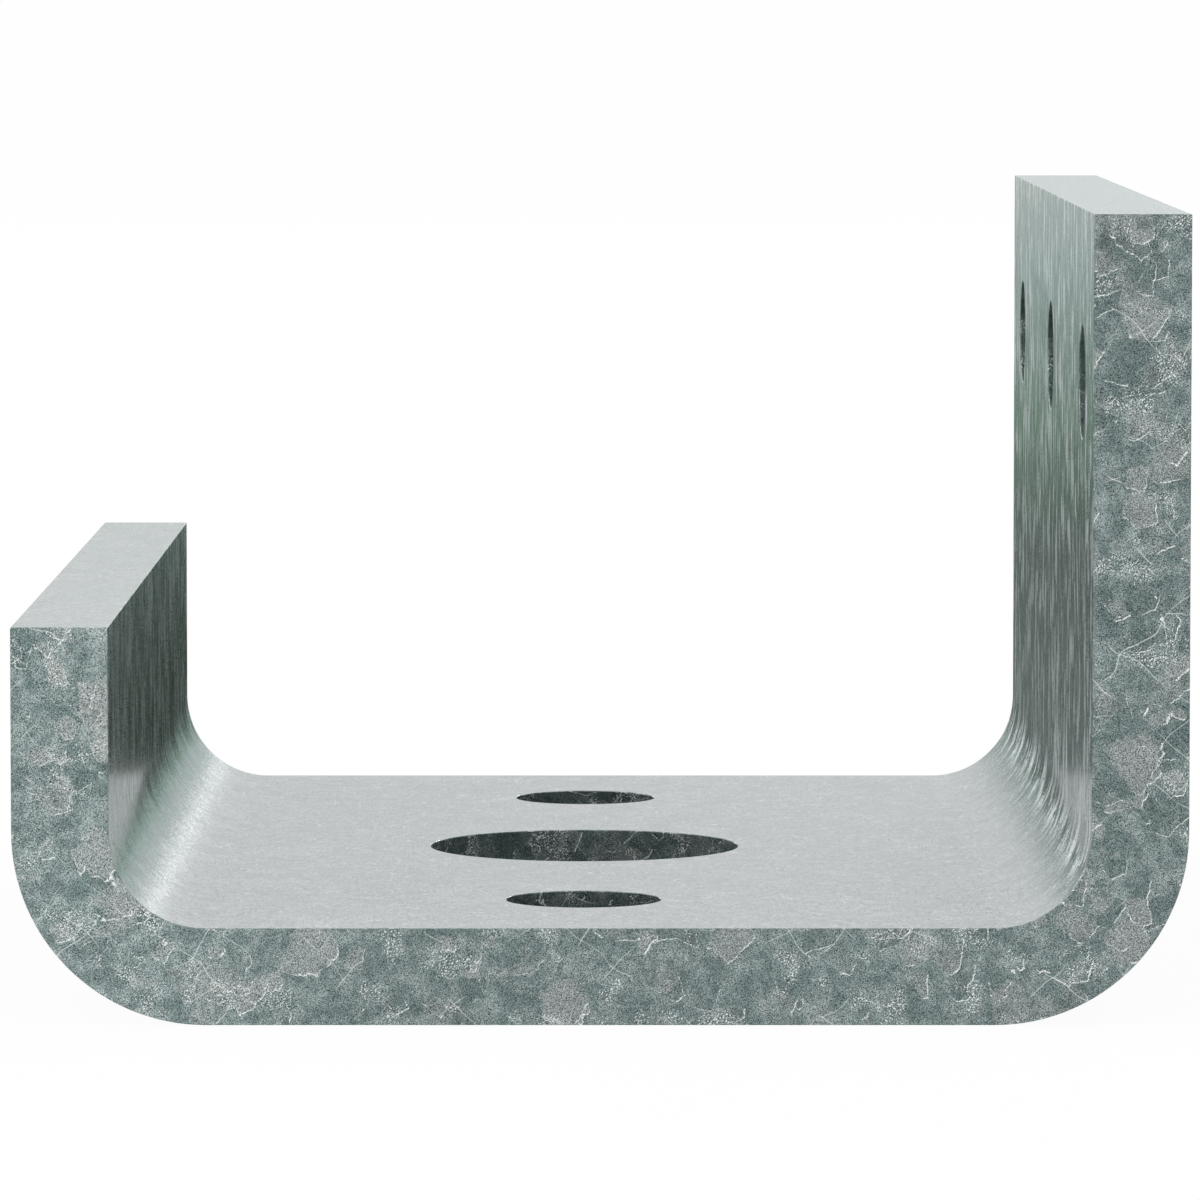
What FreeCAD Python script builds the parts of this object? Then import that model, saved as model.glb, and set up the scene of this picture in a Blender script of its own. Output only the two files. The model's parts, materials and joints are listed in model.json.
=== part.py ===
"""Knee wall stiffener: one strip of 7 gauge galvanised steel, folded up at both sides into a channel
with a short leg and a tall leg, and punched for an anchor and for screws.

Units are millimetres. The origin is the centre of the anchor hole in the underside of the base.
+X points to the tall leg, +Y runs along the channel and +Z points up, out of its open side.
"""

import FreeCAD, Part
import math
import os

from FreeCAD import Vector

# The strip, and how it is folded
LENGTH = 76.2                   # along the channel, sheared end to sheared end
WIDTH = 55.0                    # outer face of the short leg to outer face of the tall leg
THICKNESS = 4.55                # 7 gauge sheet with its zinc
SHORT_LEG_HEIGHT = 18.65        # underside of the base to the top of the short leg
TALL_LEG_HEIGHT = 37.9          # underside of the base to the top of the tall leg
INNER_BEND_RADIUS = 4.5

# Holes in the base, in one row along the channel
ANCHOR_HOLE_DIAMETER = 15.7
FIXING_HOLE_DIAMETER = 7.45
FIXING_HOLE_PITCH = 25.4        # anchor hole to each fixing hole, centre to centre
BASE_ROW_INSET = 28.3           # outer face of the tall leg to the centre line of the row

# Holes in the tall leg, in one row along the channel
SCREW_HOLE_DIAMETER = 5.45
SCREW_HOLE_PITCH = 28.575
SCREW_HOLE_COUNT = 3
SCREW_ROW_HEIGHT = 29.65        # underside of the base to the centre line of the row

PUNCH_OVERRUN = 1.0             # how far a punch passes beyond each face of the sheet

# What follows from these sizes
OUTER_BEND_RADIUS = INNER_BEND_RADIUS + THICKNESS
TALL_FACE_X = BASE_ROW_INSET
SHORT_FACE_X = TALL_FACE_X - WIDTH

ALONG = Vector(0, 1, 0)
UP = Vector(0, 0, 1)
FROM_TALL_LEG = Vector(-1, 0, 0)


def line(start, end):
    """A straight edge in the XZ plane between two (x, z) points."""
    return Part.LineSegment(Vector(start[0], 0, start[1]), Vector(end[0], 0, end[1])).toShape()


def bend(centre, radius, first_quarter):
    """A quarter circle in the XZ plane about an (x, z) centre, from a given quarter turn to the next.

    Quarter 0 starts at +X, 1 at +Z, 2 at -X and 3 at -Z.
    """
    points = []
    for quarter in (first_quarter, first_quarter + 0.5, first_quarter + 1):
        turn = quarter * math.pi / 2
        points.append(Vector(centre[0] + radius * math.cos(turn), 0, centre[1] + radius * math.sin(turn)))
    return Part.Arc(*points).toShape()


def face_of_sheet(depth):
    """One face of the folded sheet as a run of edges, from the short leg's top to the tall leg's top.

    depth is how far the face lies inside the outer one: 0 or THICKNESS. Both faces share their bend
    centres, so the sheet keeps its thickness round each bend.
    """
    radius = OUTER_BEND_RADIUS - depth
    short_x = SHORT_FACE_X + depth
    tall_x = TALL_FACE_X - depth
    short_centre = (short_x + radius, depth + radius)
    tall_centre = (tall_x - radius, depth + radius)
    return [
        line((short_x, SHORT_LEG_HEIGHT), (short_x, short_centre[1])),
        bend(short_centre, radius, 2),
        line((short_centre[0], depth), (tall_centre[0], depth)),
        bend(tall_centre, radius, 3),
        line((tall_x, tall_centre[1]), (tall_x, TALL_LEG_HEIGHT)),
    ]


def section_of_sheet():
    """The sheet cut across the channel, as a face in the XZ plane."""
    outer = face_of_sheet(0)
    inner = face_of_sheet(THICKNESS)
    tall_top = line((TALL_FACE_X, TALL_LEG_HEIGHT), (TALL_FACE_X - THICKNESS, TALL_LEG_HEIGHT))
    short_top = line((SHORT_FACE_X + THICKNESS, SHORT_LEG_HEIGHT), (SHORT_FACE_X, SHORT_LEG_HEIGHT))
    return Part.Face(Part.Wire(outer + [tall_top] + inner[::-1] + [short_top]))


def folded_sheet():
    """The strip folded to its section and not yet punched, centred along the channel."""
    section = section_of_sheet()
    section.translate(ALONG * (-LENGTH / 2))
    return section.extrude(ALONG * LENGTH)


def punch(diameter, outer_point, direction):
    """A round punch that goes through the sheet, from a point on its outer face."""
    start = outer_point - direction * PUNCH_OVERRUN
    return Part.makeCylinder(diameter / 2, THICKNESS + 2 * PUNCH_OVERRUN, start, direction)


def base_punches():
    """The anchor hole at the origin, with a fixing hole on each side of it along the channel."""
    punches = [punch(ANCHOR_HOLE_DIAMETER, Vector(0, 0, 0), UP)]
    for side in (-1, 1):
        punches.append(punch(FIXING_HOLE_DIAMETER, ALONG * (side * FIXING_HOLE_PITCH), UP))
    return punches


def tall_leg_punches():
    """The row of screw holes through the tall leg, spaced evenly about the middle of its length."""
    row_middle = Vector(TALL_FACE_X, 0, SCREW_ROW_HEIGHT)
    first = -(SCREW_HOLE_COUNT - 1) / 2
    punches = []
    for number in range(SCREW_HOLE_COUNT):
        place = row_middle + ALONG * ((first + number) * SCREW_HOLE_PITCH)
        punches.append(punch(SCREW_HOLE_DIAMETER, place, FROM_TALL_LEG))
    return punches


def stiffener_plate():
    """The whole part: the folded sheet with all its holes."""
    return folded_sheet().cut(base_punches() + tall_leg_punches())


def main():
    os.makedirs("parts", exist_ok=True)
    plate = stiffener_plate()
    plate.exportStep("parts/stiffener_plate.step")
    box = plate.BoundBox
    print(f"stiffener_plate: {box.XLength:.2f} x {box.YLength:.2f} x {box.ZLength:.2f} mm, "
          f"{len(plate.Solids)} solid, {len(plate.Faces)} faces, {plate.Volume:.1f} mm3")


main()
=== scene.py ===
"""Knee wall stiffener: the folded plate with its galvanised finish, in a plain studio.

Lengths are in metres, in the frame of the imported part: the origin is the centre of the anchor hole in
the underside of the base, +X points to the tall leg, +Y runs along the channel and +Z points up.
"""

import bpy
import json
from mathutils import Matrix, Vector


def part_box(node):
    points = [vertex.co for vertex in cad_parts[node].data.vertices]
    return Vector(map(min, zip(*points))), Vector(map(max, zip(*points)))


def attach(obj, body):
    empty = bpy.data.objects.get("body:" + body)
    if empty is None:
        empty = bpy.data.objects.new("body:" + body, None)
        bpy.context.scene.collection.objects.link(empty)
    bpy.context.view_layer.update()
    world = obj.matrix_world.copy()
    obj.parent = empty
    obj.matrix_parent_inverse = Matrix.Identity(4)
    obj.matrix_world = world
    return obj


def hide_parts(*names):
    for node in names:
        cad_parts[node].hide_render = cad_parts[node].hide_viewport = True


bl_info = {
    "name": "Knee wall stiffener",
    "version": (1, 0, 0),
    "blender": (4, 5, 0),
    "location": "3D View > Sidebar > Stiffener",
    "description": "Folds, punches and galvanises a knee wall stiffener, and sets it in a studio",
    "category": "Add Mesh",
}

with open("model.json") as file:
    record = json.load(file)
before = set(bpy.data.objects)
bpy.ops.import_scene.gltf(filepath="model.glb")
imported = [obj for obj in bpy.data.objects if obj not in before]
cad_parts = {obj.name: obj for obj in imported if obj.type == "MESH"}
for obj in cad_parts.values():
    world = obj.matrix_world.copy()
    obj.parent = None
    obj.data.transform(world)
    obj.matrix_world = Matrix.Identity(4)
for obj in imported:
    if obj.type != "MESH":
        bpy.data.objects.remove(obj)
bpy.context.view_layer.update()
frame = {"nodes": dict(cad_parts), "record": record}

import json
import math

import bmesh
import bpy
from bpy.props import FloatProperty, FloatVectorProperty, IntProperty, PointerProperty
from mathutils import Matrix, Vector

NODE = "stiffener_plate"
BODY = "root"
MM = 0.001
LOW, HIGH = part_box(NODE)
SAME_PLACE = 0.01 * MM                  # places closer than this are taken as one
HOLE_WALL = "hole_wall"                 # the face attribute that is 1 on the walls of the holes
AIM = Vector((0.0, 0.0, 0.01))          # where the lamps point

# How the plate's mesh is made
FACING = 0.99                           # how well a face must face an axis to be taken as square to it
EDGE_STEPS = 3                          # flats across each worn corner
SHARP_ANGLE = math.radians(40)          # corners sharper than this are worn
SMOOTH_ANGLE = math.radians(50)         # corners sharper than this are shaded as corners

# The zinc's pattern. Widths are shares of a flake's, and a scratch's sway and length of their spacing.
FLAKE_SHARES = (1.0, 0.62, 0.38)        # widths of the three sets of flakes
SET_SHIFT = 0.1                         # metres along X between the places that the sets are taken from
FLAKE_EDGE = 0.01                       # how softly a flake ends
GROUND_TONE = 0.4                       # a flake as pale as this is like the ground
TEAR_WIDTH = 0.4                        # width of the tears in a flake's border
RIM_HIGHLIGHT_PATCH_WIDTH = 0.5                   # width of the patches in which rims are kept
SPECK_PATCH_WIDTH = 0.6                 # width of the patches in which specks are kept
# The painted highlight along each flake's border lies on this side, as if light caught a raised edge there.
RIM_HIGHLIGHT_SIDE = Vector((0.5, -0.5, -0.7))    # the side of a flake that its rim is on
SCRATCH_TURNS = ((0.3, 0.75, 0.4), (0.2, -0.9, 0.2))    # in radians, for two sets of scratches
SCRATCH_SWAY = 0.6                      # how far a line of scratches wanders
SCRATCH_LENGTH = 1.6                    # length of a scratch
FINE_GRAIN = 3.0                        # contrast of the fine grain when Grain is 1

# Levels of a noise or a tone, from 0 to 1, between which each of these goes from none to all
KEPT_RIM_HIGHLIGHTS = (0.36, 0.46)
UNBROKEN_RIM_HIGHLIGHTS = (0.38, 0.58)
KEPT_SCRATCHES = (0.54, 0.60)
SPECK_PATCHES = (0.52, 0.68)
SPECK_RANGE = (0.56, 0.66)
BODY_TONES = (0.32, 0.72)
MATT_RANGE = (0.32, 0.68)
STREAK_RANGE = (0.35, 0.65)

# The studio
WHITE = (1.0, 1.0, 1.0)
FLOOR_SIZE = (60.0, 60.0)
CARD_SIZE = (8.0, 3.16)
CARD_GAP = 0.005                        # far end of the plate to the card
CARD_LIFT = 0.0005                      # floor to the card
BACKDROP_SIZE = (8.0, 2.5)
BACKDROP_REACH = 3.2                    # anchor hole to the backdrop
SENSOR_WIDTH = 36.0                     # in millimetres, as the lens is
CLIP_START = 0.01
CLIP_END = 200.0


def mount(name):
    """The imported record's mount of that name."""
    return next(m for m in frame["record"]["mounts"] if m["name"] == name)


def corner_heights(x):
    """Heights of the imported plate's corners that lie on one of its outer faces, lowest first."""
    corners = frame["nodes"][NODE].data.vertices
    return sorted(v.co.z for v in corners if abs(v.co.x - x) < SAME_PLACE)


THICKNESS = mount("anchor_hole")["dims"]["length_mm"] * MM
OUTER_BEND_RADIUS = corner_heights(HIGH.x)[0]
SHORT_LEG_HEIGHT = corner_heights(LOW.x)[-1]


def length(name, description, default):
    """A length in metres, zero or more."""
    return FloatProperty(
        name=name, description=description, default=default, min=0.0,
        subtype="DISTANCE", unit="LENGTH", precision=5)


def colour(name, description, default):
    """A colour as linear red, green and blue."""
    return FloatVectorProperty(
        name=name, description=description, default=default, min=0.0, max=1.0, size=3, subtype="COLOR")


def position(name, description, default):
    """A point in metres."""
    return FloatVectorProperty(
        name=name, description=description, default=default, size=3, subtype="TRANSLATION", unit="LENGTH")


def brightness(name, description, default):
    """How bright the face of a lamp is, where 1 is white."""
    return FloatProperty(name=name, description=description, default=default, min=0.0, max=200.0)


def factor(name, description, default, high=1.0):
    """A share or a ratio."""
    return FloatProperty(
        name=name, description=description, default=default, min=0.0, max=high, subtype="FACTOR")


class PlateSizes(bpy.types.PropertyGroup):
    """Sizes of the folded plate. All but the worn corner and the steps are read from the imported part."""

    thickness: length("Thickness", "Thickness of the sheet with its zinc", THICKNESS)
    short_leg: length("Short leg", "Underside of the base to the top of the short leg", SHORT_LEG_HEIGHT)
    tall_leg: length("Tall leg", "Underside of the base to the top of the tall leg", HIGH.z)
    outer_bend: length("Outer bend radius", "Radius of the outside of both bends", OUTER_BEND_RADIUS)
    anchor_hole: length(
        "Anchor hole", "Radius of the hole in the middle of the base",
        mount("anchor_hole")["dims"]["r_mm"] * MM)
    fixing_hole: length(
        "Fixing holes", "Radius of the two smaller holes in the base",
        mount("fixing_holes")["dims"]["hole_r_mm"] * MM)
    fixing_spacing: length(
        "Fixing hole spacing", "Distance between the two smaller holes in the base",
        mount("fixing_holes")["dims"]["spacing_y_mm"] * MM)
    screw_hole: length(
        "Screw holes", "Radius of the holes in the tall leg",
        mount("middle_screw_hole")["dims"]["r_mm"] * MM)
    screw_spacing: length(
        "Screw hole spacing", "Distance between the first and last hole in the tall leg",
        mount("end_screw_holes")["dims"]["spacing_x_mm"] * MM)
    screw_height: length(
        "Screw hole height", "Underside of the base to the row of screw holes",
        mount("middle_screw_hole")["pos_m"][2])
    edge_break: length(
        "Edge break", "Width of the worn corner along every sheared or punched edge", 0.06 * MM)
    bend_steps: IntProperty(
        name="Bend steps", description="Flats that each bend is made of", default=32, min=4)
    hole_steps: IntProperty(
        name="Hole steps", description="Flats that each hole is made of", default=96, min=12)


class ZincLook(bpy.types.PropertyGroup):
    """Colours, grain and relief of the zinc, with painted highlights along its flakes' borders, painted shade
    and painted glints on the walls of its holes, and painted light on its short leg.
    """

    dark: colour("Dark zinc", "Colour of the darkest clouds", (0.128, 0.174, 0.170))
    light: colour("Light zinc", "Colour of the lightest clouds", (0.262, 0.312, 0.307))
    # Painted light: the zinc is lightened on the short leg and its bend, as if more light came from that
    # side.
    short_leg_painted_light: factor("Pale leg", "How much lighter the zinc is on the short leg", 0.22)
    # Painted shade: the walls of the holes are darkened, as little light reaches into them.
    painted_hole_shade: factor("Hole shade", "How much darker the thin zinc is on the walls of the holes", 0.28)
    # Painted glints: the specks are made stronger on the walls of the holes.
    hole_painted_glints: factor(
        "Hole specks", "How much stronger the specks are on the walls of the holes", 0.8, 4.0)
    warm: colour("Warm tint", "What the warm flakes multiply the colour by", (1.0, 0.93, 0.93))
    # The bright colour goes to the painted highlights along the flakes' borders, to the specks with the
    # painted glints on the hole walls, and to the scratches.
    bright: colour("Bright zinc", "Colour of the raised rims, flecks and scratches", (0.92, 0.95, 0.94))
    flake_size: length("Flake size", "Width of a large flake", 2.4 * MM)
    flake_cover: factor("Flake cover", "Share of the surface under flakes of one size", 0.16)
    flake_tear: factor(
        "Flake tear", "How far a flake's border is torn from straight, as a share of its size", 0.32)
    flake_warmth: factor("Flake warmth", "How much of the warm tint one flake takes", 1.0)
    flake_light: factor("Flake light", "How much lighter a flake is than the ground", 0.45)
    # Painted highlights along the flakes' lower borders: how brightly they show, and how much they lose where
    # broken.
    rim_highlights: factor("Rims", "How brightly the rims show", 1.0, 2.0)
    rim_highlight_breaks: factor("Rim breaks", "How much of its brightness a rim loses where it is broken", 0.7)
    specks: factor("Specks", "How brightly the specks show", 1.05, 2.0)
    scratches: factor("Scratches", "How brightly the scratches show", 0.4)
    speck_size: length("Speck size", "Width of a bright speck", 0.065 * MM)
    # Width of the painted highlight along a flake's lower border.
    rim_highlight_width: length("Rim width", "Width of the raised rim along a flake's lower border", 0.05 * MM)
    clouds: factor("Clouds", "How strongly the clouds between the flakes show", 0.95, 2.0)
    cloud_size: length("Cloud size", "Width of the clouds between the flakes", 0.8 * MM)
    grain_size: length("Grain size", "Width of the fine grain", 0.035 * MM)
    grain: factor("Grain", "How strongly the fine grain shows", 1.75, 4.0)
    grain_stretch: factor("Grain stretch", "Length of a grain over its width", 1.3, 10.0)
    grain_draw: factor("Grain draw", "Length of a grain along the rolled sheet over its width", 12.0, 50.0)
    side_grain: factor(
        "Side grain", "Width of a grain between the sheared ends, over its width on them", 5.0, 50.0)
    side_calm: factor(
        "Side calm", "How much weaker the grain and the specks are between the sheared ends", 0.5)
    sparkle: factor("Sparkle", "How much the glaze's roughness changes from grain to grain", 1.0, 2.0)
    coarse: factor("Coarse grain", "How strongly the coarse grain shows, next to the fine", 0.4, 4.0)
    lean: FloatProperty(
        name="Lean", description="How far the grain leans over", default=math.radians(45), subtype="ANGLE",
        unit="ROTATION")
    scratch_spacing: length("Scratch spacing", "Distance between the lines that scratches lie on", 2.0 * MM)
    scratch_width: length("Scratch width", "Width of a scratch", 0.04 * MM)
    roughness: factor("Roughness", "Mean roughness of the zinc", 0.22)
    rough_change: factor("Roughness change", "How much the roughness follows the clouds", 0.04)
    edge_tint: factor("Edge tint", "How bright the bare zinc is at a grazing angle", 0.8)
    metal: factor("Metal", "Share of the zinc that is bare metal, with a dull oxide for the rest", 0.5)
    film: colour("Film", "Colour that the glaze on the zinc reflects", (0.496, 0.509, 0.519))
    film_index: FloatProperty(
        name="Film index", description="Refractive index of the glaze on the zinc", default=1.5, min=1.0,
        max=3.0)
    film_roughness: factor("Film roughness", "Roughness of the glaze", 0.2)
    matt_size: length("Matt size", "Width of the matt patches", 0.3 * MM)
    matt: factor("Matt", "How much the glaze's roughness changes from patch to patch", 0.10)
    streak_width: length("Streak width", "Width of the upright streaks in the glaze of the legs", 1.2 * MM)
    streak_length: factor("Streak length", "Length of a streak over its width", 2.5, 50.0)
    streaks: factor("Streaks", "How much the glaze's roughness changes from streak to streak", 0.45)
    streak_shade: factor(
        "Streak shade", "How much the glaze's colour changes from streak to streak", 1.9, 4.0)
    short_leg_streaks: factor(
        "Short leg streaks", "Strength of the streaks on the short leg, next to the tall leg", 0.35)
    leg_wear: factor(
        "Leg wear", "How much less the glaze reflects on the legs, where the dies rubbed it", 0.42)
    swell_size: length("Swell size", "Width of the swells that the zinc froze in", 0.12 * MM)
    swell_relief: length("Swell relief", "Height of the swells", 0.0025 * MM)
    grain_relief: length("Grain relief", "Height of the fine grain", 0.001 * MM)


class StudioLook(bpy.types.PropertyGroup):
    """The floor, the light and the camera."""

    floor: colour("Floor", "Colour of the floor", (0.85, 0.85, 0.85))
    floor_lift: factor("Floor lift", "How far the floor is lifted to white where it is seen", 0.95)
    cover_margin: length(
        "Cover margin", "End of the plate to the floor under it that stays in its shade", 2.0 * MM)
    card_left: colour(
        "Card, short leg side", "Colour of the card, which only reflections show, by the short leg",
        (0.010, 0.022, 0.008))
    card_right: colour("Card, tall leg side", "Colour of the card by the tall leg", (0.150, 0.190, 0.176))
    card_green: colour("Card, green", "Colour of the card's green band", (0.180, 0.280, 0.215))
    card_spread: length(
        "Card spread", "Half the width over which the short leg's side turns to the tall leg's", 0.012)
    card_mid: colour("Card, middle", "Colour of the card's middle", (0.425, 0.535, 0.520))
    card_far: colour("Card, far", "Colour of the card's far end", (1.0, 1.0, 0.95))
    near_reach: length("Near reach", "Where the card starts to pale, from the plate's middle", 0.27)
    green_reach: length("Green reach", "Where the card is green", 0.48)
    mid_reach: length("Middle reach", "Where the card has its middle colour", 1.0)
    far_reach: length("Far reach", "Where the card has its far colour", 2.8)
    horizon_left: colour(
        "Horizon, short leg side", "Colour of the backdrop's foot on the short leg's side",
        (0.40, 0.49, 0.465))
    horizon_right: colour(
        "Horizon, tall leg side", "Colour of the backdrop's foot on the tall leg's side",
        (0.54, 0.67, 0.65))
    horizon_spread: length(
        "Horizon spread", "Half the width over which one side's colour turns to the other's", 0.34)
    backdrop_foot: length("Backdrop foot", "Height at which the backdrop starts to pale", 0.15)
    backdrop_rise: length("Backdrop rise", "Height at which the backdrop is all pale", 0.35)
    backdrop_level: factor("Backdrop level", "Brightness of the pale part of the backdrop", 1.10, 2.0)
    high_lamp: position(
        "High lamp", "Centre of the softbox high behind, towards the tall leg", (0.275, 1.1, 0.39))
    high_lamp_size: length("High lamp size", "Width of the softbox high behind", 0.08)
    high_lamp_level: brightness("High lamp level", "Brightness of the softbox high behind", 52.0)
    high_lamp_tint: colour("High lamp tint", "Colour of the softbox high behind", (1.0, 1.0, 1.0))
    low_lamp: position(
        "Low lamp", "Centre of the softbox low behind, towards the short leg", (-0.43, 1.1, 0.12))
    low_lamp_size: length("Low lamp size", "Width of the softbox low behind", 0.11)
    low_lamp_level: brightness("Low lamp level", "Brightness of the softbox low behind", 14.5)
    low_lamp_tint: colour("Low lamp tint", "Colour of the softbox low behind", (0.97, 1.0, 1.0))
    tinted_lamp: position(
        "Tinted lamp", "Centre of the small softbox just over the floor behind", (0.275, 1.1, 0.03))
    tinted_lamp_size: length("Tinted lamp size", "Width of the small softbox", 0.10)
    tinted_lamp_level: brightness("Tinted lamp level", "Brightness of the small softbox", 1.1)
    tinted_lamp_tint: colour("Tinted lamp tint", "Colour of the small softbox", (0.2, 1.0, 0.55))
    side_lamp: position(
        "Side lamp", "Centre of the large softbox on the short leg's side", (-1.0, -0.35, 0.55))
    side_lamp_size: length("Side lamp size", "Width of the large softbox", 0.5)
    side_lamp_level: brightness("Side lamp level", "Brightness of the large softbox", 4.5)
    side_lamp_tint: colour("Side lamp tint", "Colour of the large softbox", (0.85, 1.0, 0.95))
    lens: FloatProperty(
        name="Lens", description="Focal length of the camera", default=255.45, unit="CAMERA")
    camera_distance: length("Camera distance", "Front of the plate to the camera", 395.55 * MM)
    camera_height: length("Camera height", "Floor to the camera", 49.035 * MM)
    camera_pitch: FloatProperty(
        name="Camera pitch", description="How far the camera looks down", default=math.radians(4.2074),
        subtype="ANGLE", unit="ROTATION")
    camera_side: FloatProperty(
        name="Camera side", description="Anchor hole to the camera, towards the tall leg",
        default=0.794 * MM, subtype="DISTANCE", unit="LENGTH")


class Signal:
    """An output of a shader node that can be used in sums. Each operator adds one Math node."""

    def __init__(self, shader, socket):
        self.shader = shader
        self.socket = socket

    def _math(self, operation, first, second):
        return self.shader.node("ShaderNodeMath", {"operation": operation}, {0: first, 1: second})

    def __add__(self, other):
        return self._math("ADD", self, other)

    def __sub__(self, other):
        return self._math("SUBTRACT", self, other)

    def __rsub__(self, other):
        return self._math("SUBTRACT", other, self)

    def __mul__(self, other):
        return self._math("MULTIPLY", self, other)

    __radd__ = __add__
    __rmul__ = __mul__


def find_socket(sockets, key):
    """A node's socket by its number, its identifier or its name."""
    if isinstance(key, int):
        return sockets[key]
    return next((s for s in sockets if s.identifier == key), None) or sockets[key]


class Shader:
    """A node tree that is written as Python expressions."""

    def __init__(self, tree):
        self.tree = tree
        self.tree.nodes.clear()

    def node(self, kind, settings=None, inputs=None, output=0):
        """Adds a node, makes its settings, fills or links its inputs, and gives one output."""
        made = self.tree.nodes.new(kind)
        for name, value in (settings or {}).items():
            setattr(made, name, value)
        for key, value in (inputs or {}).items():
            socket = find_socket(made.inputs, key)
            if isinstance(value, Signal):
                self.tree.links.new(value.socket, socket)
            else:
                socket.default_value = value
        return Signal(self, find_socket(made.outputs, output)) if made.outputs else None

    def moved(self, place, by):
        """A place moved by a vector."""
        return self.node("ShaderNodeVectorMath", {"operation": "ADD"}, {0: place, 1: by})

    def scale(self, vector, by):
        """A vector or a colour times a number."""
        return self.node("ShaderNodeVectorMath", {"operation": "SCALE"}, {0: vector, "Scale": by})

    def mix(self, share, first, second, blend="MIX"):
        """A mix of two colours."""
        return self.node(
            "ShaderNodeMix", {"data_type": "RGBA", "blend_type": blend},
            {"Factor_Float": share, "A_Color": first, "B_Color": second}, "Result_Color")

    def ramp(self, value, low, high):
        """0 below low, 1 above high and smooth between them."""
        return self.node(
            "ShaderNodeMapRange", {"interpolation_type": "SMOOTHSTEP"},
            {"Value": value, "From Min": low, "From Max": high})

    def slope(self, value, low, high):
        """0 below low, 1 above high and straight between them."""
        return self.node("ShaderNodeMapRange", None, {"Value": value, "From Min": low, "From Max": high})

    def near(self, value, level, reach):
        """1 where the value is within reach of the level, and 0 elsewhere."""
        return self.node("ShaderNodeMath", {"operation": "COMPARE"}, {0: value, 1: level, 2: reach})

    def clamp(self, value):
        """The value kept between 0 and 1."""
        return self.node("ShaderNodeClamp", None, {"Value": value})

    def noise(self, place, width, detail, roughness=0.5, output="Fac"):
        """Cloudy noise with features of about that width, in metres."""
        return self.node(
            "ShaderNodeTexNoise", None,
            {"Vector": place, "Scale": 1 / width, "Detail": detail, "Roughness": roughness}, output)

    def cells(self, place, width):
        """Irregular cells of about that width, in metres, with a random colour for each."""
        return self.node("ShaderNodeTexVoronoi", None, {"Vector": place, "Scale": 1 / width}, "Color")

    def part(self, colour_signal, name):
        """The red, green or blue of a colour."""
        return self.node("ShaderNodeSeparateColor", None, {"Color": colour_signal}, name)

    def turned(self, place, turn, stretch=(1, 1, 1)):
        """Coordinates in which a texture lies at a turn and is stretched along its own axes."""
        return self.node(
            "ShaderNodeMapping", {"vector_type": "TEXTURE"},
            {"Vector": place, "Rotation": turn, "Scale": stretch})


def opaque(rgb):
    """A colour with full alpha."""
    return (*rgb, 1.0)


def axis_of(shader, place, axis):
    """One coordinate of a place."""
    return shader.node("ShaderNodeSeparateXYZ", None, {"Vector": place}, axis)


def torn_flakes(shader, place, size, look):
    """Where torn angular flakes lie, how pale each one is, and a thin painted highlight along its lower
    border.

    The painted highlight is what is left of the flakes after the same flakes, moved by its width, are taken
    away.
    """
    inside = []
    for at in (place, shader.moved(place, RIM_HIGHLIGHT_SIDE * look.rim_highlight_width)):
        push = shader.noise(at, size * TEAR_WIDTH, detail=3.0, roughness=0.6, output="Color")
        ragged = shader.moved(at, shader.scale(push, size * look.flake_tear))
        cell = shader.cells(ragged, size)
        low = 1.0 - look.flake_cover
        inside.append(shader.ramp(shader.part(cell, "Red"), low, low + FLAKE_EDGE))
    pale = shader.part(cell, "Green") * inside[1]
    return inside[0], pale, shader.clamp(inside[0] - inside[1])


def flake_sets(shader, place, look):
    """Sets of flakes that lie over each other: the painted highlights along their borders, their warmth and
    how much lighter they are.
    """
    rim_highlights = 0.0
    warmth = 0.0
    tones = 0.0
    for number, share in enumerate(FLAKE_SHARES):
        apart = shader.moved(place, (number * SET_SHIFT, 0.0, 0.0))
        inside, pale, rim_highlight = torn_flakes(shader, apart, look.flake_size * share, look)
        kept = shader.ramp(shader.noise(apart, look.flake_size * RIM_HIGHLIGHT_PATCH_WIDTH, detail=1.0), *KEPT_RIM_HIGHLIGHTS)
        rim_highlights = rim_highlight * kept + rim_highlights
        warmth = pale * look.flake_warmth + warmth
        tones = (pale - inside * GROUND_TONE) * look.flake_light + tones
    return rim_highlights, warmth, tones


def scratches(shader, place, turn, look):
    """Thin straight scratches: parts of sheets that stand at a turn, each cut by a face as a line."""
    spacing = look.scratch_spacing
    across = axis_of(shader, shader.turned(place, turn), "X")
    sway = shader.noise(place, spacing, detail=0.0) * SCRATCH_SWAY
    step = shader.node("ShaderNodeMath", {"operation": "FRACT"}, {0: across * (1 / spacing) + sway})
    kept = shader.ramp(shader.noise(place, spacing * SCRATCH_LENGTH, detail=1.0), *KEPT_SCRATCHES)
    return shader.near(step, 0.5, look.scratch_width / spacing / 2) * kept


def tall_side(shader, place):
    """1 on the tall leg's side of the anchor hole, and 0 on the short leg's side."""
    return shader.slope(axis_of(shader, place, "X"), -SAME_PLACE, SAME_PLACE)


def on_short_leg(shader, place):
    """1 on the short leg and its bend, and falling to 0 over one bend radius of the base."""
    bend_end = LOW.x + OUTER_BEND_RADIUS
    return 1.0 - shader.slope(axis_of(shader, place, "X"), bend_end, bend_end + OUTER_BEND_RADIUS)


def on_sides(shader, place):
    """0 on the two sheared ends of the channel, and 1 on every face between them."""
    reach = (HIGH.y - LOW.y) / 2 - SAME_PLACE
    return shader.near(axis_of(shader, place, "Y"), (LOW.y + HIGH.y) / 2, reach)


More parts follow.
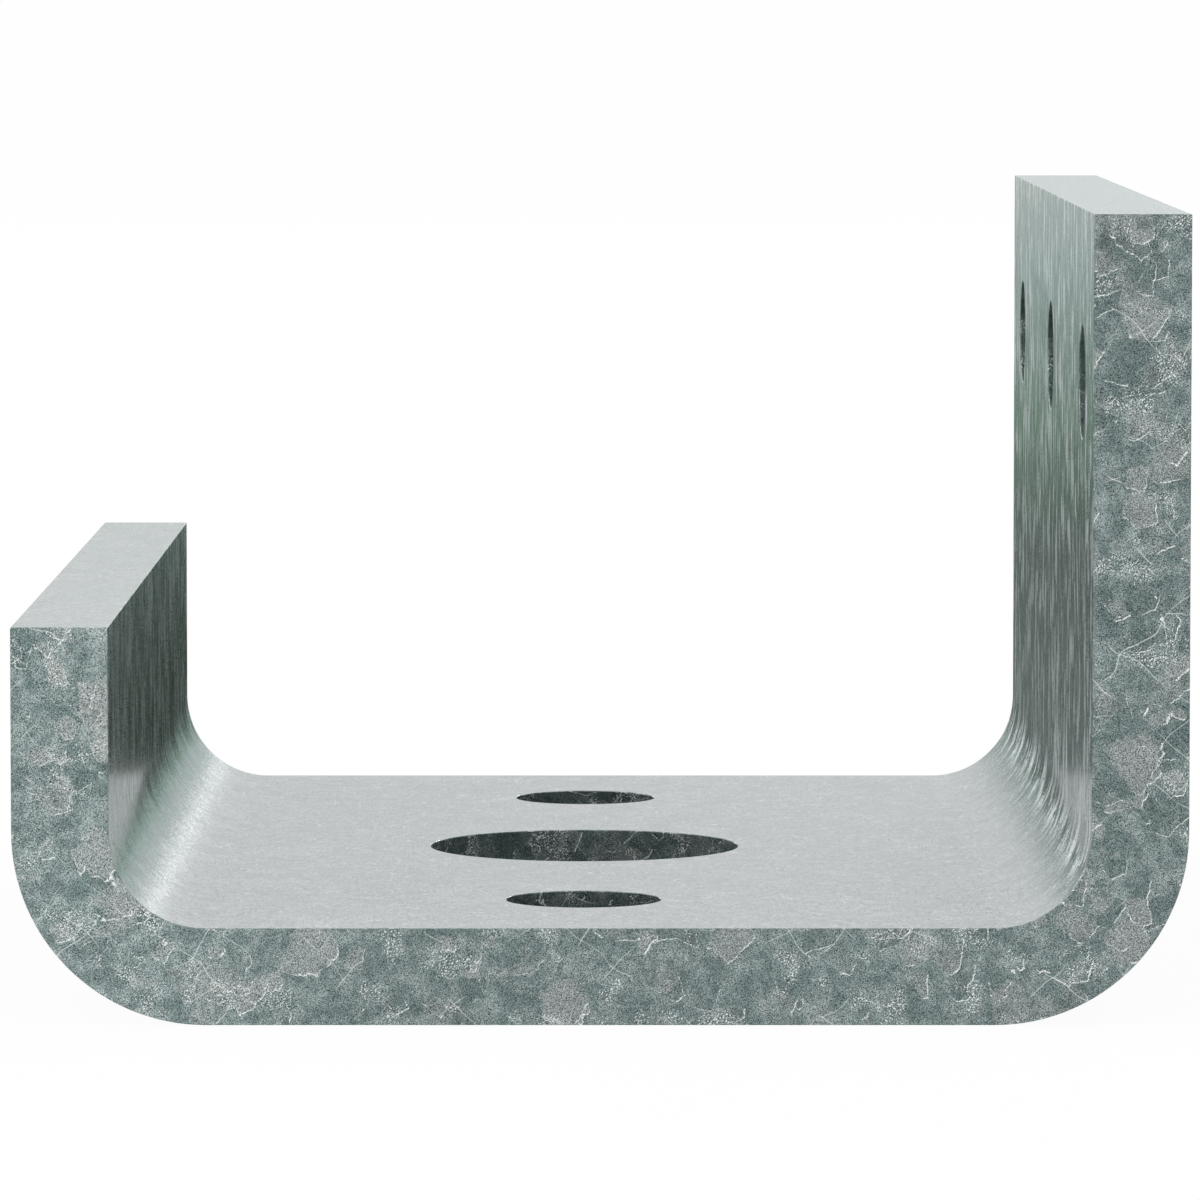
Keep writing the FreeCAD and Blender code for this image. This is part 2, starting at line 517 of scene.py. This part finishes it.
def leg_faces(shader, place):
    """1 on the upright faces of the legs, 0 on the base and on the legs' tops, and smooth round the bends."""
    height = axis_of(shader, place, "Z")
    short_top = shader.near(height, SHORT_LEG_HEIGHT, SAME_PLACE) * (1.0 - tall_side(shader, place))
    tops = shader.near(height, HIGH.z, SAME_PLACE) + short_top
    return shader.ramp(height, THICKNESS, OUTER_BEND_RADIUS) * (1.0 - tops)


def leg_streaks(shader, place, legs, look):
    """Upright streaks from -0.5 to 0.5 on the legs, weaker on the short one, and 0 elsewhere."""
    drawn = shader.turned(place, (0.0, 0.0, 0.0), (1.0, 1.0, look.streak_length))
    drawn = shader.noise(drawn, look.streak_width, detail=3.0, roughness=0.6)
    by_leg = look.short_leg_streaks + tall_side(shader, place) * (1.0 - look.short_leg_streaks)
    return (shader.ramp(drawn, *STREAK_RANGE) - 0.5) * legs * by_leg


def zinc_colour(shader, place, clouds, look):
    """Clouds of two greys with flakes and grain in them, painted highlights along the flakes' borders, bright
    specks and scratches, painted shade and painted glints on the walls of the holes, and painted light on the
    short leg.
    """
    # The walls of the holes, which take painted shade and painted glints.
    punched = shader.node("ShaderNodeAttribute", {"attribute_name": HOLE_WALL}, None, "Fac")
    sides = on_sides(shader, place) * (1.0 - punched)
    calm = 1.0 - sides * look.side_calm
    stretch = shader.mix(
        sides, opaque((1.0, look.grain_draw, look.grain_stretch)),
        opaque((look.side_grain, look.grain_draw, look.side_grain)))
    leaning = shader.turned(place, (0.0, look.lean, 0.0), stretch)
    grain = shader.noise(leaning, look.grain_size, detail=1.0, roughness=0.6)
    crystals = shader.noise(leaning, look.speck_size, detail=1.0, roughness=0.6)
    rim_highlights, warmth, tones = flake_sets(shader, place, look)

    tone = 0.5 + (clouds - 0.5) * look.clouds + tones
    body = shader.mix(shader.ramp(tone, *BODY_TONES), opaque(look.dark), opaque(look.light))

    grit = (grain - 0.5) * (look.grain * FINE_GRAIN) + (crystals - 0.5) * (look.grain * look.coarse)
    grit = 1.0 + grit * calm
    # Painted light on the short leg and its bend.
    grit = grit * (1.0 + on_short_leg(shader, place) * look.short_leg_painted_light)
    # Painted shade on the walls of the holes.
    grit = grit * (1.0 - punched * look.painted_hole_shade)
    grey = shader.node("ShaderNodeCombineColor", None, {"Red": grit, "Green": grit, "Blue": grit})
    body = shader.mix(1.0, body, grey, "MULTIPLY")
    body = shader.mix(shader.clamp(warmth), body, shader.mix(1.0, body, opaque(look.warm), "MULTIPLY"))

    patches = shader.noise(place, look.flake_size * SPECK_PATCH_WIDTH, detail=2.0)
    patches = shader.ramp(patches, *SPECK_PATCHES)
    # On the walls of the holes the specks are made stronger as painted glints.
    flecks = shader.ramp(crystals, *SPECK_RANGE) * patches * (calm + punched * look.hole_painted_glints)
    lines = 0.0
    for turn in SCRATCH_TURNS:
        lines = scratches(shader, place, turn, look) + lines
    # The painted highlights along the flakes' borders, broken in places, take the bright colour together with
    # the specks and scratches.
    broken = (1.0 - look.rim_highlight_breaks) + shader.ramp(crystals, *UNBROKEN_RIM_HIGHLIGHTS) * look.rim_highlight_breaks
    light = shader.clamp(rim_highlights * broken * look.rim_highlights + flecks * look.specks + lines * look.scratches)
    return shader.mix(light, body, opaque(look.bright))


def galvanised(look):
    """Zinc that has set in torn, overlapping flakes, under a thin glaze that shines at a grazing angle."""
    material = bpy.data.materials.new("galvanised steel")
    material.use_nodes = True
    shader = Shader(material.node_tree)
    place = shader.node("ShaderNodeTexCoord", None, None, "Object")
    clouds = shader.noise(place, look.cloud_size, detail=4.0, roughness=0.6)

    fine = shader.turned(place, (0.0, look.lean, 0.0), (1.0, look.grain_draw, look.grain_stretch))
    glint = shader.noise(fine, look.grain_size, detail=1.0, roughness=0.6)
    swell = shader.noise(place, look.swell_size, detail=2.0)
    height = swell * look.swell_relief + glint * look.grain_relief
    bump = shader.node("ShaderNodeBump", None, {"Strength": 1.0, "Distance": 1.0, "Height": height})

    zinc = shader.node("ShaderNodeBsdfPrincipled", {"distribution": "MULTI_GGX"}, {
        "Base Color": zinc_colour(shader, place, clouds, look),
        "Metallic": look.metal,
        "Specular IOR Level": 0.0,
        "Roughness": look.roughness + look.rough_change * (0.5 - clouds),
        "Normal": bump,
        "Specular Tint": opaque((look.edge_tint,) * 3),
    })

    legs = leg_faces(shader, place)
    streaks = leg_streaks(shader, place, legs, look)
    matt = shader.noise(place, look.matt_size, detail=2.0, roughness=0.6)
    matt = shader.ramp(matt, *MATT_RANGE) - 0.5
    rough = look.film_roughness + matt * look.matt + streaks * look.streaks
    film = shader.node("ShaderNodeBsdfPrincipled", {"distribution": "MULTI_GGX"}, {
        "Base Color": shader.scale(look.film, 1.0 + streaks * look.streak_shade - legs * look.leg_wear),
        "Metallic": 1.0,
        "Roughness": rough + (glint - 0.5) * look.sparkle,
        "Normal": bump,
    })

    glaze = shader.node("ShaderNodeFresnel", None, {"IOR": look.film_index, "Normal": bump})
    surface = shader.node("ShaderNodeMixShader", None, {0: glaze, 1: zinc, 2: film})
    shader.node("ShaderNodeOutputMaterial", None, {"Surface": surface})
    return material


def deselect_all():
    bpy.ops.object.select_all(action="DESELECT")


def base_strip(sizes):
    """The flat of the base, between the two bends, open in edit mode with nothing selected."""
    low_x = LOW.x + sizes.outer_bend
    high_x = HIGH.x - sizes.outer_bend
    deselect_all()
    bpy.ops.mesh.primitive_cube_add(
        size=1.0,
        location=((low_x + high_x) / 2, (LOW.y + HIGH.y) / 2, sizes.thickness / 2),
        scale=(high_x - low_x, HIGH.y - LOW.y, sizes.thickness))
    plate = bpy.context.object
    plate.name = "galvanised_plate"
    bpy.ops.object.transform_apply(location=True, rotation=True, scale=True)
    bpy.ops.object.mode_set(mode="EDIT")
    bpy.ops.mesh.select_mode(type="FACE")
    return plate


def pick_end_face(plate, x):
    """Selects the strip's upright end face that stands at one x."""
    bpy.ops.mesh.select_all(action="DESELECT")
    mesh = bmesh.from_edit_mesh(plate.data)
    for face in mesh.faces:
        upright = abs(face.normal.x) > FACING
        face.select_set(upright and abs(face.calc_center_median().x - x) < SAME_PLACE)
    bmesh.update_edit_mesh(plate.data)


def fold_up(plate, side, height, sizes):
    """Folds one end of the strip up about the middle of its bend, and draws the leg to its height.

    side is -1 for the short leg and 1 for the tall leg.
    """
    flat_end = HIGH.x - sizes.outer_bend if side > 0 else LOW.x + sizes.outer_bend
    pick_end_face(plate, flat_end)
    bpy.ops.mesh.spin(
        steps=sizes.bend_steps, angle=math.pi / 2, center=(flat_end, 0.0, sizes.outer_bend),
        axis=(0.0, side, 0.0))
    bpy.ops.mesh.extrude_region_move(TRANSFORM_OT_translate={"value": (0.0, 0.0, height - sizes.outer_bend)})


def punch(radius, place, turn, sizes):
    """A round punch, twice as long as the sheet is thick."""
    deselect_all()
    bpy.ops.mesh.primitive_cylinder_add(
        vertices=sizes.hole_steps, radius=radius, depth=2 * sizes.thickness, location=place, rotation=turn)
    tool = bpy.context.object
    # The walls are marked so that the zinc can take painted shade and painted glints there.
    wall = tool.data.attributes.new(HOLE_WALL, "FLOAT", "FACE")
    wall.data.foreach_set("value", [1.0] * len(tool.data.polygons))
    return tool


def punch_set(sizes):
    """All the punches as one object: three for the base and three for the tall leg."""
    upright = (0.0, 0.0, 0.0)
    lying = (0.0, math.pi / 2, 0.0)
    base_z = sizes.thickness / 2
    leg_x = HIGH.x - sizes.thickness / 2
    half_fixing = sizes.fixing_spacing / 2
    half_screw = sizes.screw_spacing / 2
    punches = [punch(sizes.anchor_hole, (0.0, 0.0, base_z), upright, sizes)]
    for y in (-half_fixing, half_fixing):
        punches.append(punch(sizes.fixing_hole, (0.0, y, base_z), upright, sizes))
    for y in (-half_screw, 0.0, half_screw):
        punches.append(punch(sizes.screw_hole, (leg_x, y, sizes.screw_height), lying, sizes))
    deselect_all()
    for tool in punches:
        tool.select_set(True)
    bpy.context.view_layer.objects.active = punches[0]
    bpy.ops.object.join()
    return bpy.context.object


def apply_modifier(obj, kind, **settings):
    """Adds a modifier, makes its settings and applies it."""
    deselect_all()
    obj.select_set(True)
    bpy.context.view_layer.objects.active = obj
    bpy.ops.object.modifier_add(type=kind)
    modifier = obj.modifiers[-1]
    for name, value in settings.items():
        setattr(modifier, name, value)
    bpy.ops.object.modifier_apply(modifier=modifier.name)


class STIFFENER_OT_plate(bpy.types.Operator):
    """Fold the strip, punch its holes, break its edges and galvanise it"""

    bl_idname = "stiffener.plate"
    bl_label = "Folded plate"

    def execute(self, context):
        sizes = context.scene.stiffener_sizes
        plate = base_strip(sizes)
        fold_up(plate, -1, sizes.short_leg, sizes)
        fold_up(plate, 1, sizes.tall_leg, sizes)
        bpy.ops.object.mode_set(mode="OBJECT")

        punches = punch_set(sizes)
        apply_modifier(plate, "BOOLEAN", operation="DIFFERENCE", solver="EXACT", object=punches)
        bpy.data.objects.remove(punches)
        apply_modifier(
            plate, "BEVEL", width=sizes.edge_break, segments=EDGE_STEPS, limit_method="ANGLE",
            angle_limit=SHARP_ANGLE)
        bpy.ops.object.shade_smooth_by_angle(angle=SMOOTH_ANGLE)
        apply_modifier(plate, "WEIGHTED_NORMAL", mode="FACE_AREA", weight=100, keep_sharp=True)

        plate.data.materials.clear()
        plate.data.materials.append(galvanised(context.scene.stiffener_zinc))
        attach(plate, BODY)
        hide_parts(NODE)
        return {"FINISHED"}


def seen_or_mirrored(shader):
    """1 for what the camera sees itself or in a reflection or refraction, and 0 for other light."""
    path = shader.tree.nodes.new("ShaderNodeLightPath").outputs
    rays = [Signal(shader, path[name]) for name in ("Is Camera Ray", "Is Glossy Ray", "Is Transmission Ray")]
    return shader.clamp(rays[0] + rays[1] + rays[2])


def floor_material(look):
    """Pale and matt, and lifted to white where the camera or a reflection sees it, with its shadows kept."""
    material = bpy.data.materials.new("studio floor")
    material.use_nodes = True
    shader = Shader(material.node_tree)
    lit = shader.node("ShaderNodeBsdfDiffuse", None, {"Color": opaque(look.floor)})
    lift = shader.node("ShaderNodeEmission", None, {"Color": opaque(WHITE), "Strength": 1.0})
    place = shader.node("ShaderNodeTexCoord", None, None, "Object")
    covered = 1.0
    for axis, low, high, margin in (
            ("X", LOW.x, HIGH.x, OUTER_BEND_RADIUS), ("Y", LOW.y, HIGH.y, look.cover_margin)):
        at = axis_of(shader, place, axis)
        covered = shader.near(at, (low + high) / 2, (high - low) / 2 - margin) * covered
    share = seen_or_mirrored(shader) * (1.0 - covered) * look.floor_lift
    blend = shader.node("ShaderNodeMixShader", None, {0: share, 1: lit, 2: lift})
    shader.node("ShaderNodeOutputMaterial", None, {"Surface": blend})
    return material


def card_material(look):
    """Dark by the plate and paler with distance, as a studio floor is beyond the lights."""
    material = bpy.data.materials.new("reflected card")
    material.use_nodes = True
    shader = Shader(material.node_tree)
    place = shader.node("ShaderNodeTexCoord", None, None, "Object")
    reach = axis_of(shader, place, "Y")
    side = shader.slope(axis_of(shader, place, "X"), -look.card_spread, look.card_spread)
    shade = shader.mix(side, opaque(look.card_left), opaque(look.card_right))
    tint = shader.mix(shader.slope(reach, look.near_reach, look.green_reach), shade, opaque(look.card_green))
    tint = shader.mix(shader.slope(reach, look.green_reach, look.mid_reach), tint, opaque(look.card_mid))
    tint = shader.mix(shader.slope(reach, look.mid_reach, look.far_reach), tint, opaque(look.card_far))
    glow = shader.node("ShaderNodeEmission", None, {"Color": tint, "Strength": 1.0})
    shader.node("ShaderNodeOutputMaterial", None, {"Surface": glow})
    return material


def backdrop_material(look):
    """A grey-green horizon, darker on the short leg's side, under an even pale sheet."""
    material = bpy.data.materials.new("reflected backdrop")
    material.use_nodes = True
    shader = Shader(material.node_tree)
    place = shader.node("ShaderNodeTexCoord", None, None, "Object")
    side = shader.slope(axis_of(shader, place, "X"), -look.horizon_spread, look.horizon_spread)
    horizon = shader.mix(side, opaque(look.horizon_left), opaque(look.horizon_right))
    height = shader.slope(axis_of(shader, place, "Z"), look.backdrop_foot, look.backdrop_rise)
    tint = shader.mix(height, horizon, opaque((look.backdrop_level,) * 3))
    glow = shader.node("ShaderNodeEmission", None, {"Color": tint, "Strength": 1.0})
    shader.node("ShaderNodeOutputMaterial", None, {"Surface": glow})
    return material


def stage_sheet(name, size, place, material, tilt=0.0):
    """A flat rectangle that isn't part of the object, level or tilted up about X."""
    deselect_all()
    bpy.ops.mesh.primitive_plane_add(size=1.0, location=place, rotation=(tilt, 0.0, 0.0))
    sheet = bpy.context.object
    sheet.name = name
    sheet.scale = (*size, 1.0)
    bpy.ops.object.transform_apply(location=True, rotation=True, scale=True)
    sheet.data.materials.append(material)
    return sheet


def soft_lamp(name, place, size, level, tint):
    """A square soft light that is aimed at the plate. level is how bright its face is."""
    lamp = bpy.data.lights.new(name, "AREA")
    lamp.color = tint
    lamp.shape = "SQUARE"
    lamp.size = size
    lamp.energy = level * size * size * math.pi
    obj = bpy.data.objects.new(name, lamp)
    bpy.context.scene.collection.objects.link(obj)
    direction = AIM - Vector(place)
    obj.matrix_world = Matrix.Translation(place) @ direction.to_track_quat("-Z", "Y").to_matrix().to_4x4()
    obj.visible_camera = False


def reflected_sheets(look):
    """The card on the floor behind the plate and the backdrop beyond, which only reflections show."""
    card_place = (0.0, HIGH.y + CARD_GAP + CARD_SIZE[1] / 2, CARD_LIFT)
    card = stage_sheet("card", CARD_SIZE, card_place, card_material(look))
    backdrop_place = (0.0, BACKDROP_REACH, BACKDROP_SIZE[1] / 2)
    backdrop = stage_sheet("backdrop", BACKDROP_SIZE, backdrop_place, backdrop_material(look), math.pi / 2)
    for sheet in (card, backdrop):
        sheet.visible_camera = False
        sheet.visible_diffuse = False
        sheet.visible_shadow = False
        sheet.visible_transmission = False


def white_world(scene):
    """Even white light from all round."""
    world = bpy.data.worlds.new("studio")
    scene.world = world
    world.use_nodes = True
    shader = Shader(world.node_tree)
    light = shader.node("ShaderNodeBackground", None, {"Color": opaque(WHITE), "Strength": 1.0})
    shader.node("ShaderNodeOutputWorld", None, {"Surface": light})


def front_camera(scene, look):
    """A camera with a long lens before the near end, looking along the channel and a little down."""
    camera = bpy.data.objects.new("camera", bpy.data.cameras.new("camera"))
    scene.collection.objects.link(camera)
    camera.data.lens = look.lens
    camera.data.sensor_width = SENSOR_WIDTH
    camera.data.clip_start = CLIP_START
    camera.data.clip_end = CLIP_END
    camera.location = (look.camera_side, LOW.y - look.camera_distance, look.camera_height)
    camera.rotation_euler = (math.pi / 2 - look.camera_pitch, 0.0, 0.0)
    scene.camera = camera


class STIFFENER_OT_stage(bpy.types.Operator):
    """Lay the floor, set the lights and place the camera"""

    bl_idname = "stiffener.stage"
    bl_label = "Floor, light and camera"

    def execute(self, context):
        look = context.scene.stiffener_studio
        stage_sheet("floor", FLOOR_SIZE, (0.0, 0.0, 0.0), floor_material(look))
        reflected_sheets(look)
        for name in ("high_lamp", "low_lamp", "tinted_lamp", "side_lamp"):
            soft_lamp(
                name, getattr(look, name), getattr(look, f"{name}_size"),
                getattr(look, f"{name}_level"), getattr(look, f"{name}_tint"))
        white_world(context.scene)
        front_camera(context.scene, look)
        context.scene.view_settings.view_transform = "Standard"
        return {"FINISHED"}


class STIFFENER_PT_panel(bpy.types.Panel):
    """Lists the steps that make the stiffener"""

    bl_idname = "STIFFENER_PT_panel"
    bl_label = "Knee wall stiffener"
    bl_space_type = "VIEW_3D"
    bl_region_type = "UI"
    bl_category = "Stiffener"

    def draw(self, context):
        for operator in OPERATORS:
            self.layout.operator(operator.bl_idname)
        for name in SETTINGS:
            group = getattr(context.scene, name)
            for key in group.bl_rna.properties.keys():
                if key not in {"rna_type", "name"}:
                    self.layout.prop(group, key)


OPERATORS = (STIFFENER_OT_plate, STIFFENER_OT_stage)
SETTINGS = {"stiffener_sizes": PlateSizes, "stiffener_zinc": ZincLook, "stiffener_studio": StudioLook}
CLASSES = (*SETTINGS.values(), *OPERATORS, STIFFENER_PT_panel)


def register():
    for cls in CLASSES:
        bpy.utils.register_class(cls)
    for name, group in SETTINGS.items():
        setattr(bpy.types.Scene, name, PointerProperty(type=group))


def unregister():
    for name in SETTINGS:
        delattr(bpy.types.Scene, name)
    for cls in reversed(CLASSES):
        bpy.utils.unregister_class(cls)


def main():
    register()
    bpy.ops.stiffener.plate()
    bpy.ops.stiffener.stage()


if __name__ == "__main__":
    main()
